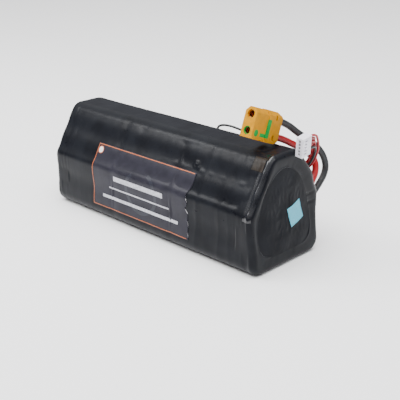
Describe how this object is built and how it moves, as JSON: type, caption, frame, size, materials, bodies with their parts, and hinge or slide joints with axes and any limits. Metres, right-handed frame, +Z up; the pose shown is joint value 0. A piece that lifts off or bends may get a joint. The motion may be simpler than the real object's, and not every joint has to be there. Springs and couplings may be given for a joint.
{
  "type": "cylindrical-cell battery pack",
  "caption": "Shrink-wrapped honeycomb battery pack on its flat side, with silicone power leads to a two-pole connector and a small balance plug.",
  "frame": {"origin": "underside of the pack, in the middle of its length and width", "axes": "+X along the pack towards the leads, +Z up, label on the -Y side"},
  "size_m": [0.2248, 0.0972, 0.1151],
  "materials": {
    "cell_steel": "drawn nickel-plated steel",
    "cell_sleeve": "thin shrunk plastic",
    "cap_metal": "nickel plated",
    "ring_paper": "white fibre paper",
    "nickel": "nickel strip",
    "insulation_paper": "barley paper",
    "board": "epoxy glass board",
    "foam": "closed-cell foam",
    "wrap_paper": "barley paper",
    "bus_copper": "flat copper strip",
    "film": "heat-shrunk film, satin with fine wrinkles",
    "label_film": "printed vinyl label, satin",
    "badge": "white vinyl with an orange rim",
    "sticker": "pale blue paper sticker",
    "tape": "thin brown tape",
    "sealant": "cured silicone sealant",
    "lead_black": "soft silicone insulation",
    "lead_red": "soft silicone insulation",
    "lead_core": "tinned copper strands",
    "solder": "bright solder",
    "connector_yellow": "moulded nylon",
    "connector_green": "moulded nylon",
    "contact_gold": "gold plated",
    "shrink_black": "heat-shrunk tube",
    "plug_white": "moulded nylon",
    "crimp": "tinned bronze"
  },
  "bodies": {
    "pack": {"cell_cans_1": "cell_steel", "cell_sleeves_1": "cell_sleeve", "cell_caps_1": "cap_metal", "cell_rings_1": "ring_paper", "nickel_rear_1": "nickel", "nickel_front_1": "nickel", "cell_cans_2": "cell_steel", "cell_sleeves_2": "cell_sleeve", "cell_caps_2": "cap_metal", "cell_rings_2": "ring_paper", "nickel_rear_2": "nickel", "nickel_front_2": "nickel", "cell_cans_3": "cell_steel", "cell_sleeves_3": "cell_sleeve", "cell_caps_3": "cap_metal", "cell_rings_3": "ring_paper", "nickel_rear_3": "nickel", "nickel_front_3": "nickel", "insulator_paper_1": "insulation_paper", "insulator_paper_2": "insulation_paper", "insulator_paper_3": "insulation_paper", "insulator_paper_4": "insulation_paper", "end_board_rear": "board", "end_board_front": "board", "end_foam_rear": "foam", "end_foam_front": "foam", "parallel_bus_strips": "bus_copper", "bus_separators": "insulation_paper", "side_filler_foam": "foam", "paper_wrap": "wrap_paper", "outer_sleeve": "film", "end_film_rear": "film", "end_film_front": "film", "label": "label_film", "round_badge": "badge", "check_sticker": "sticker", "ridge_tape": "tape", "lead_exit_seal": "sealant", "balance_exit_seal": "sealant", "terminal_tabs": "nickel", "terminal_solder": "solder", "main_lead_black": "lead_black", "main_lead_red": "lead_red", "lead_cores": "lead_core", "cup_solder": "solder", "cup_shrink_sleeves": "shrink_black", "connector_housing": "connector_yellow", "anti_spark_strip": "connector_green", "anti_spark_ring": "connector_green", "contact_negative": "contact_gold", "contact_positive": "contact_gold", "balance_plug_housing": "plug_white", "balance_terminals": "crimp", "balance_wire_black": "lead_black", "balance_wire_red_1": "lead_red", "balance_wire_red_2": "lead_red", "balance_wire_red_3": "lead_red", "balance_wire_red_4": "lead_red"},
    "rear_cover": {"connector_rear_cover": "connector_yellow"}
  },
  "joints": [
    {"name": "cover_slide", "type": "slide", "parent": "pack", "child": "rear_cover", "axis": [0, 0.9367, -0.3502], "range_m": [0, 0.004]}
  ]
}
